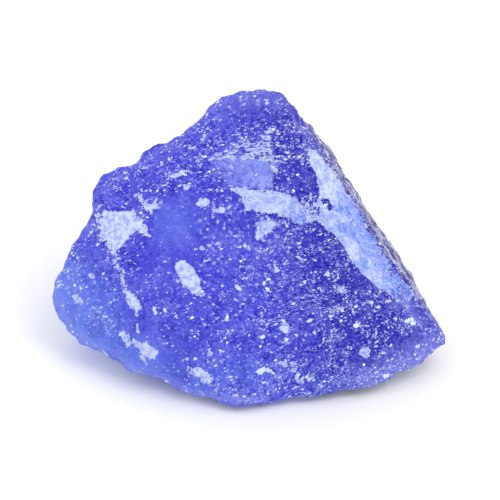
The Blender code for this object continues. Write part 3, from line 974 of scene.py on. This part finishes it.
def stone_material(colours, texture, fields):
    """Cloudy waxy corundum with colour zones, grains, frosted chips and a weathered face, and painted glow,
    sheen, shade, shadows and glints.
    """
    material = bpy.data.materials.new("cloudy_sapphire")
    material.use_nodes = True
    shader = material.node_tree.nodes["Principled BSDF"]
    graph = Graph(material.node_tree)
    grains = grains_group()
    broken = broken_group()
    zone = {name: graph.attribute(name) for name in fields}
    place = graph.scaled(graph.add("ShaderNodeTexCoord", {}).outputs["Object"], 1.0 / MM)

    def paint(name):
        return (*getattr(colours, name), 1.0)

    def times(value, factor):
        return graph.math("MULTIPLY", value, factor)

    def share(name):
        return times(zone[name], SHARES[name])

    def ramp(name, value):
        return graph.ramp(value, *RAMPS[name])

    def turned(turn):
        rotation = (SIGHT_DOWN, turn, 0.0)
        return graph.add("ShaderNodeMapping", {"Vector": place, "Rotation": rotation}).outputs[0]

    def stretched(name, vector):
        return graph.vector("MULTIPLY", vector, STRETCHES[name])

    def scatter(kind, vector, held):
        """The mask of one kind of grain, in a share of its places that follows what holds it."""
        shift, raggedness, softness, rarity = SCATTERS[kind]
        return graph.group(
            grains, place=graph.vector("ADD", vector, shift), size=getattr(texture, kind + "_size"),
            amount=times(held, getattr(texture, kind + "_amount")),
            raggedness=raggedness, softness=softness, rarity=rarity,
        )

    def broken_cover(kind, vector, cover_share):
        size, breakup, softness = COVERS[kind]
        return graph.group(
            broken, place=vector, cover=cover_share, size=size, breakup=breakup, softness=softness
        )

    level = turned(DASH_TURN)
    along = turned(STRIP_TURN)
    rows = turned(ROW_TURN)
    lengthened = stretched("grains", rows)

    # The body's colour, from zone to zone and from cloud to cloud, with painted glow and the ledge's
    # painted sheen
    clouds = graph.noise(place, texture.cloud_size, detail=4.0, distortion=0.6).outputs[0]
    gathering = graph.noise(stretched("clumps", rows), texture.clump_size, detail=3.0, distortion=0.5)
    mottle = graph.noise(place, texture.mottle_size, detail=4.0, distortion=0.4).outputs[0]
    fine = graph.noise(place, texture.grain_size, detail=3.0).outputs[0]
    body = graph.mix(zone["deep"], paint("body"), paint("deep"))
    body = graph.mix(share("azure"), body, paint("azure"))
    body = graph.mix(ramp("pale clouds", clouds), body, paint("thin"))
    body = graph.mix(ramp("deep clouds", clouds), body, paint("deep"))
    # Painted glow where the stone is thin and along the glowing rims
    body = graph.mix(graph.math("MAXIMUM", share("thin"), share("glow_rim")), body, paint("thin"))
    # The ledge's painted sheen
    ledge_sheen_share = times(zone["ledge"], ramp("ledge mottle", graph.math("ADD", clouds, mottle)))
    body = graph.mix(ledge_sheen_share, body, paint("ledge"))

    # Light and dark mottling, stronger where the skin is gritty, and less dark in the azure and on the
    # glowing rims
    contrast = ramp("contrast", zone["grit"])
    dimming = times(contrast, ramp("dimming", graph.math("MAXIMUM", zone["azure"], zone["glow_rim"])))
    light = graph.math("ADD", ramp("light mottle", mottle), ramp("light grain", fine))
    dark = graph.math("ADD", ramp("dark mottle", mottle), ramp("dark grain", fine))
    body = graph.mix(times(light, contrast), body, paint("thin"))
    # Dark mottling, and painted shade in the hollows and on faces turned from the light
    body = graph.mix(graph.math("MAXIMUM", times(dark, dimming), zone["painted_shade"]), body, paint("pit_and_shade"))

    # The grey face, and the painted shadows under step edges
    layered = stretched("grey layers", along)
    weathered = graph.noise(layered, GREY_LAYER_WIDTH, detail=4.0, distortion=0.8).outputs[0]
    grey = graph.mix(ramp("grey layers", weathered), paint("grey_seam"), paint("grey"))
    body = graph.mix(share("grey"), body, grey)
    # Painted shadows under step edges, in the darkest blue
    body = graph.mix(share("step_shadow"), body, paint("pit_and_shade"))

    # Curled specks, soft flecks, snow and dashes near the crown, and sharp salt and the finest grains,
    # their white partly painted glints
    gritty = times(zone["grit"], ramp("clumps", gathering.outputs[0]))
    curls = broken_cover("curls", place, times(ramp("curls", gritty), texture.curl_amount))
    flecks = scatter("fleck", place, zone["flecks"])
    snow = broken_cover("snow", stretched("wisps", level), zone["snow"])
    dashes = scatter("dash", stretched("dashes", level), zone["snow"])
    salt = scatter("salt", lengthened, graph.math("MULTIPLY_ADD", zone["worn"], WORN_SALT, gritty))
    glint_dust = scatter("glint_dust", lengthened, gritty)
    for name, mask in (("curls", curls), ("flecks", flecks), ("snow", snow)):
        body = graph.mix(times(mask, SHARES[name]), body, paint("frost"))
    # Sharp grains in their brightest white, partly painted glints
    specks_and_glints = graph.math("MAXIMUM", graph.math("MAXIMUM", salt, glint_dust), dashes)
    body = graph.mix(specks_and_glints, body, paint("speck_and_glint"))

    # Frosted chips and lacy flakes over everything
    flakes = scatter("flake", place, gritty)
    covered = graph.math("MAXIMUM", zone["frost"], times(flakes, SHARES["flakes"]))
    ragged_cover = graph.math("MULTIPLY_ADD", graph.math("SUBTRACT", fine, 0.5), 1.1, covered)
    frost = broken_cover("frost", place, ragged_cover)
    streaks = graph.noise(stretched("strip streaks", along), STREAK_WIDTH, detail=4.0, distortion=0.8)
    thinned = stretched("thin streaks", along)
    thin_streaks = graph.noise(thinned, THIN_STREAK_WIDTH, detail=3.0, distortion=0.6)
    tint = times(zone["tint"], ramp("strip streaks", streaks.outputs[0]))
    frost_colour = graph.mix(tint, paint("frost"), paint("tint"))
    dim = graph.math("ADD", ramp("dim mottle", mottle), ramp("dim grain", fine))
    frost_colour = graph.mix(dim, frost_colour, paint("lilac"))
    bright = graph.math("ADD", ramp("bright grain", fine), ramp("bright streaks", thin_streaks.outputs[0]))
    frost_colour = graph.mix(graph.math("ADD", share("white"), bright), frost_colour, paint("speck_and_glint"))
    body = graph.mix(frost, body, frost_colour)
    graph.tree.links.new(body, shader.inputs["Base Color"])

    white = graph.math("MAXIMUM", frost, graph.math("MAXIMUM", specks_and_glints, snow))
    roughness = graph.math("MULTIPLY_ADD", white, WHITE_ROUGHNESS, colours.roughness)
    roughness = graph.math("ADD", roughness, ramp("rough mottle", mottle))
    graph.tree.links.new(roughness, shader.inputs["Roughness"])

    height = graph.math("ADD", times(mottle, MOTTLE_BUMP), times(fine, GRAIN_BUMP))
    height = graph.math("SUBTRACT", height, times(frost, FROST_BUMP))
    bump = graph.add(
        "ShaderNodeBump", {"Strength": BUMP_STRENGTH, "Distance": BUMP_DISTANCE, "Height": height}
    )
    graph.tree.links.new(bump.outputs[0], shader.inputs["Normal"])
    set_finish(shader, FINISH)
    return material


def set_finish(shader, finish):
    """Sets plain values on a shader's own sockets."""
    for socket, value in finish.items():
        shader.inputs[socket].default_value = value


def make_floor(colour):
    """A plain pale floor under the stone."""
    bm = bmesh.new()
    bmesh.ops.create_grid(bm, x_segments=1, y_segments=1, size=FLOOR_HALF_WIDTH)
    mesh = bpy.data.meshes.new("floor")
    bm.to_mesh(mesh)
    bm.free()
    material = bpy.data.materials.new("pale_floor")
    material.use_nodes = True
    shader = material.node_tree.nodes["Principled BSDF"]
    shader.inputs["Base Color"].default_value = (*colour, 1.0)
    set_finish(shader, FLOOR_FINISH)
    mesh.materials.append(material)
    new_object("floor", mesh)


def add_lamp(name, place, size, power):
    """A soft square lamp that faces the stone, with its place in metres from the middle of the floor."""
    lamp = bpy.data.lights.new(name, "AREA")
    lamp.shape = "SQUARE"
    lamp.size = size
    lamp.energy = power
    obj = new_object(name, lamp)
    obj.location = place
    aim = Vector(SIGHT_MIDDLE * MM) - Vector(place)
    obj.rotation_euler = aim.to_track_quat("-Z", "Y").to_euler()


def light_room(look):
    """A white room with two soft lamps."""
    world = bpy.data.worlds.new("white_room")
    world.use_nodes = True
    sky = world.node_tree.nodes["Background"]
    sky.inputs["Color"].default_value = (1.0, 1.0, 1.0, 1.0)
    sky.inputs["Strength"].default_value = look.room_light
    bpy.context.scene.world = world
    add_lamp("key", *KEY_LAMP, look.key_light)
    add_lamp("back", *BACK_LAMP, look.back_light)


def make_camera():
    """The camera on the line of sight."""
    camera = bpy.data.cameras.new("camera")
    camera.sensor_width = SENSOR_WIDTH
    camera.lens = SENSOR_WIDTH * CAMERA_DISTANCE / PICTURE_WIDTH
    camera.clip_start = NEAREST_SEEN
    obj = new_object("camera", camera)
    away = Vector(AWAY)
    obj.location = Vector(SIGHT_MIDDLE * MM) - away * (CAMERA_DISTANCE * MM)
    obj.rotation_euler = away.to_track_quat("-Z", "Y").to_euler()
    bpy.context.scene.camera = obj


class SAPPHIRE_OT_stone(bpy.types.Operator):
    """Make the stone's skin with its relief, marks and material"""

    bl_idname = "sapphire.stone"
    bl_label = "Make the stone"

    def execute(self, context):
        make_stone(context.scene.stone_shape, context.scene.stone_colours, context.scene.stone_texture)
        return {"FINISHED"}


class SAPPHIRE_OT_stage(bpy.types.Operator):
    """Set the floor, the light and the camera"""

    bl_idname = "sapphire.stage"
    bl_label = "Set the stage"

    def execute(self, context):
        look = context.scene.stage_look
        make_floor(look.floor)
        light_room(look)
        make_camera()
        context.scene.view_settings.view_transform = "Standard"
        return {"FINISHED"}


class SAPPHIRE_PT_panel(bpy.types.Panel):
    """The steps that dress the stone"""

    bl_idname = "SAPPHIRE_PT_panel"
    bl_label = "Rough Blue Sapphire"
    bl_space_type = "VIEW_3D"
    bl_region_type = "UI"
    bl_category = "Sapphire"

    def draw(self, context):
        for holder in SETTINGS:
            box = self.layout.box()
            group = getattr(context.scene, holder)
            for name in group.__annotations__:
                box.prop(group, name)
        self.layout.operator(SAPPHIRE_OT_stone.bl_idname)
        self.layout.operator(SAPPHIRE_OT_stage.bl_idname)


SETTINGS = {
    "stone_shape": StoneShape,
    "stone_colours": StoneColours,
    "stone_texture": StoneTexture,
    "stage_look": StageLook,
}
CLASSES = (*SETTINGS.values(), SAPPHIRE_OT_stone, SAPPHIRE_OT_stage, SAPPHIRE_PT_panel)


def register():
    for cls in CLASSES:
        bpy.utils.register_class(cls)
    for holder, group in SETTINGS.items():
        setattr(bpy.types.Scene, holder, PointerProperty(type=group))


def unregister():
    for holder in SETTINGS:
        delattr(bpy.types.Scene, holder)
    for cls in reversed(CLASSES):
        bpy.utils.unregister_class(cls)


def main():
    register()
    bpy.ops.sapphire.stone()
    bpy.ops.sapphire.stage()


if __name__ == "__main__":
    main()
